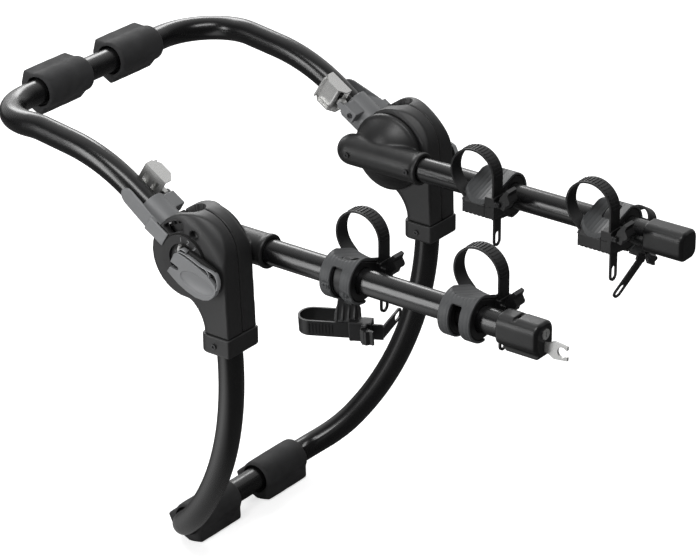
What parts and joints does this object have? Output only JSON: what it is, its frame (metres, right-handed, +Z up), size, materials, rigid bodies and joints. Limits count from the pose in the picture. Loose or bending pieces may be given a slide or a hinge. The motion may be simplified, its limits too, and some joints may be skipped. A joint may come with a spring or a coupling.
{
  "type": "trunk mounted bike rack",
  "caption": "Folding bike carrier for a car's rear door: two padded tube hoops joined at lockable hubs, with folding arms that carry strap cradles for bicycles.",
  "frame": {"origin": "midway between the lower pads, in the plane of their flat faces", "axes": "+X to the right arm as seen facing the car, +Y toward the car, +Z up"},
  "size_m": [0.4882, 0.8583, 0.5908],
  "materials": {
    "tube_black": "satin powder coat",
    "foam": "matte closed-cell foam with moulded skin",
    "hub_plastic": "fine-grained moulded plastic",
    "carrier_plastic": "fine-grained moulded plastic",
    "clamp_grey": "fine-grained moulded plastic",
    "dial_black": "smooth moulded plastic",
    "saddle_rubber": "soft matte rubber",
    "strap_rubber": "flexible ribbed rubber",
    "ratchet_plastic": "smooth moulded plastic",
    "cap_plastic": "satin moulded plastic",
    "bright_steel": "bright zinc-plated sheet",
    "dark_steel": "black oxide"
  },
  "bodies": {
    "lower_frame": {"lower_hoop": "tube_black", "lower_pad_left": "foam", "lower_pad_right": "foam", "hub_screws": "dark_steel", "pivot_bolts": "dark_steel", "lever_pins": "bright_steel", "left_hub_outer_shell": "hub_plastic", "left_hub_inner_shell": "hub_plastic", "left_collar": "hub_plastic", "left_dial_ring": "dial_black", "right_hub_outer_shell": "hub_plastic", "right_hub_inner_shell": "hub_plastic", "right_collar": "hub_plastic", "right_dial_ring": "dial_black"},
    "upper_frame": {"upper_hoop": "tube_black", "upper_pad_left": "foam", "upper_pad_right": "foam", "reel_housing_screws": "dark_steel", "left_knuckle": "dial_black", "left_reel_housing": "clamp_grey", "right_knuckle": "dial_black", "right_reel_housing": "clamp_grey"},
    "left_arm": {"left_arm_carrier": "carrier_plastic", "left_arm_tube": "tube_black", "left_arm_screws": "dark_steel", "left_end_cap": "cap_plastic"},
    "left_cam_lever": {"left_cam_lever": "clamp_grey"},
    "left_buckle_frame": {"left_buckle_frame": "bright_steel"},
    "left_buckle_handle": {"left_buckle_handle": "bright_steel"},
    "left_front_cradle": {"left_front_cradle_body": "ratchet_plastic", "left_front_saddle": "saddle_rubber", "left_front_strap": "strap_rubber"},
    "left_front_tab": {"left_front_tab": "ratchet_plastic"},
    "left_rear_cradle": {"left_rear_cradle_body": "ratchet_plastic", "left_rear_saddle": "saddle_rubber", "left_rear_strap": "strap_rubber"},
    "left_rear_tab": {"left_rear_tab": "ratchet_plastic"},
    "right_arm": {"right_arm_carrier": "carrier_plastic", "right_arm_tube": "tube_black", "right_arm_screws": "dark_steel", "right_end_cap": "cap_plastic"},
    "right_cam_lever": {"right_cam_lever": "clamp_grey"},
    "right_buckle_frame": {"right_buckle_frame": "bright_steel"},
    "right_buckle_handle": {"right_buckle_handle": "bright_steel"},
    "right_front_cradle": {"right_front_cradle_body": "ratchet_plastic", "right_front_saddle": "saddle_rubber", "right_front_strap": "strap_rubber"},
    "right_front_tab": {"right_front_tab": "ratchet_plastic"},
    "right_rear_cradle": {"right_rear_cradle_body": "ratchet_plastic", "right_rear_saddle": "saddle_rubber", "right_rear_strap": "strap_rubber"},
    "right_rear_tab": {"right_rear_tab": "ratchet_plastic"},
    "left_antisway": {"left_antisway_body": "ratchet_plastic", "left_antisway_strap": "strap_rubber"},
    "left_antisway_tab": {"left_antisway_tab": "ratchet_plastic"},
    "right_antisway": {"right_antisway_body": "ratchet_plastic", "right_antisway_strap": "strap_rubber"},
    "right_antisway_tab": {"right_antisway_tab": "ratchet_plastic"},
    "lock_cylinder": {"lock_cylinder": "bright_steel"},
    "lock_fork": {"lock_fork": "bright_steel"}
  },
  "joints": [
    {"name": "upper_frame_fold", "type": "hinge", "parent": "lower_frame", "child": "upper_frame", "pos_m": [0, -0.12284, 0.46995], "axis": [1, 0, 0], "range_deg": [-86, 20]},
    {"name": "left_arm_fold", "type": "hinge", "parent": "lower_frame", "child": "left_arm", "pos_m": [-0.1538, -0.12284, 0.46995], "axis": [1, 0, 0], "range_deg": [0, 75]},
    {"name": "left_cam_lever_turn", "type": "hinge", "parent": "lower_frame", "child": "left_cam_lever", "pos_m": [-0.2396, -0.11984, 0.4807], "axis": [0, 0.3518, -0.9361], "range_deg": [0, 100]},
    {"name": "left_buckle_swivel", "type": "hinge", "parent": "upper_frame", "child": "left_buckle_frame", "pos_m": [-0.1772, -0.04825, 0.51665], "axis": [1, 0, 0], "range_deg": [-8, 25]},
    {"name": "left_buckle_handle_squeeze", "type": "hinge", "parent": "left_buckle_frame", "child": "left_buckle_handle", "pos_m": [-0.1748, -0.0367, 0.52565], "axis": [0, 0.5307, -0.8476], "range_deg": [0, 15], "stiffness_Nm_per_rad": 0.2, "springref_deg": -11.46},
    {"name": "left_front_cradle_turn", "type": "hinge", "parent": "left_arm", "child": "left_front_cradle", "pos_m": [-0.1538, -0.30884, 0.46995], "axis": [0, 1, 0], "range_deg": [-20, 20]},
    {"name": "left_front_tab_press", "type": "hinge", "parent": "left_front_cradle", "child": "left_front_tab", "pos_m": [-0.1161, -0.34034, 0.47595], "axis": [1, 0, 0], "range_deg": [0, 14], "stiffness_Nm_per_rad": 0.1, "springref_deg": -8.59},
    {"name": "left_rear_cradle_turn", "type": "hinge", "parent": "left_arm", "child": "left_rear_cradle", "pos_m": [-0.1538, -0.47884, 0.46995], "axis": [0, 1, 0], "range_deg": [-20, 20]},
    {"name": "left_rear_tab_press", "type": "hinge", "parent": "left_rear_cradle", "child": "left_rear_tab", "pos_m": [-0.1161, -0.51034, 0.47595], "axis": [1, 0, 0], "range_deg": [0, 14], "stiffness_Nm_per_rad": 0.1, "springref_deg": -8.59},
    {"name": "right_arm_fold", "type": "hinge", "parent": "lower_frame", "child": "right_arm", "pos_m": [0.1538, -0.12284, 0.46995], "axis": [1, 0, 0], "range_deg": [0, 75]},
    {"name": "right_cam_lever_turn", "type": "hinge", "parent": "lower_frame", "child": "right_cam_lever", "pos_m": [0.2396, -0.11984, 0.4807], "axis": [0, -0.3518, 0.9361], "range_deg": [0, 100]},
    {"name": "right_buckle_swivel", "type": "hinge", "parent": "upper_frame", "child": "right_buckle_frame", "pos_m": [0.1772, -0.04825, 0.51665], "axis": [1, 0, 0], "range_deg": [-8, 25]},
    {"name": "right_buckle_handle_squeeze", "type": "hinge", "parent": "right_buckle_frame", "child": "right_buckle_handle", "pos_m": [0.1748, -0.0367, 0.52565], "axis": [0, -0.5307, 0.8476], "range_deg": [0, 15], "stiffness_Nm_per_rad": 0.2, "springref_deg": -11.46},
    {"name": "right_front_cradle_turn", "type": "hinge", "parent": "right_arm", "child": "right_front_cradle", "pos_m": [0.1538, -0.30884, 0.46995], "axis": [0, 1, 0], "range_deg": [-20, 20]},
    {"name": "right_front_tab_press", "type": "hinge", "parent": "right_front_cradle", "child": "right_front_tab", "pos_m": [0.1161, -0.34034, 0.47595], "axis": [1, 0, 0], "range_deg": [0, 14], "stiffness_Nm_per_rad": 0.1, "springref_deg": -8.59},
    {"name": "right_rear_cradle_turn", "type": "hinge", "parent": "right_arm", "child": "right_rear_cradle", "pos_m": [0.1538, -0.47884, 0.46995], "axis": [0, 1, 0], "range_deg": [-20, 20]},
    {"name": "right_rear_tab_press", "type": "hinge", "parent": "right_rear_cradle", "child": "right_rear_tab", "pos_m": [0.1161, -0.51034, 0.47595], "axis": [1, 0, 0], "range_deg": [0, 14], "stiffness_Nm_per_rad": 0.1, "springref_deg": -8.59},
    {"name": "left_antisway_swing", "type": "hinge", "parent": "left_front_cradle", "child": "left_antisway", "pos_m": [-0.1538, -0.30884, 0.46995], "axis": [0, -1, 0], "range_deg": [-60, 0]},
    {"name": "left_antisway_tab_press", "type": "hinge", "parent": "left_antisway", "child": "left_antisway_tab", "pos_m": [-0.15864, -0.33438, 0.40328], "axis": [0.0872, 0, -0.9962], "range_deg": [0, 14], "stiffness_Nm_per_rad": 0.1, "springref_deg": -8.59},
    {"name": "right_antisway_swing", "type": "hinge", "parent": "right_rear_cradle", "child": "right_antisway", "pos_m": [0.1538, -0.47884, 0.46995], "axis": [0, -1, 0], "range_deg": [-45, 30]},
    {"name": "right_antisway_tab_press", "type": "hinge", "parent": "right_antisway", "child": "right_antisway_tab", "pos_m": [0.20146, -0.49894, 0.4205], "axis": [-0.866, 0, 0.5], "range_deg": [0, 14], "stiffness_Nm_per_rad": 0.1, "springref_deg": -8.59},
    {"name": "lock_turn", "type": "hinge", "parent": "left_arm", "child": "lock_cylinder", "pos_m": [-0.1518, -0.58284, 0.47445], "axis": [0, -1, 0], "range_deg": [0, 90]},
    {"name": "lock_fork_pull", "type": "slide", "parent": "left_arm", "child": "lock_fork", "axis": [0, -1, 0], "range_m": [0, 0.01]}
  ]
}
